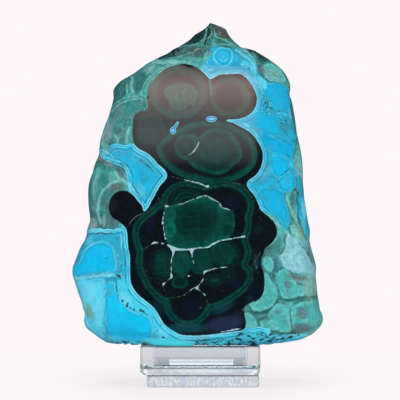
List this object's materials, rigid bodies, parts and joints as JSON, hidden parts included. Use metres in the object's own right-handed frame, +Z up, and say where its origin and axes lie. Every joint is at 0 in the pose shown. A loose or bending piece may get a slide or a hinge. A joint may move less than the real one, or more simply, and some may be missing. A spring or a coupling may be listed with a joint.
{
  "type": "polished mineral specimen on stand",
  "caption": "polished freeform of chrysocolla and malachite with a flat banded face and a lumpy natural back, upright on a small clear open stand",
  "frame": {"origin": "centre of the flat underside of the stand's foot, on the surface it stands on", "axes": "+Z up, the polished face looks along -Y, +X to the right of someone looking at that face"},
  "size_m": [0.1031, 0.0492, 0.1486],
  "materials": {
    "stone": "gloss",
    "clear_acrylic": "gloss"
  },
  "bodies": {
    "root": {"stone": "stone", "stand_tray": "clear_acrylic", "stand_foot": "clear_acrylic"}
  },
  "joints": []
}
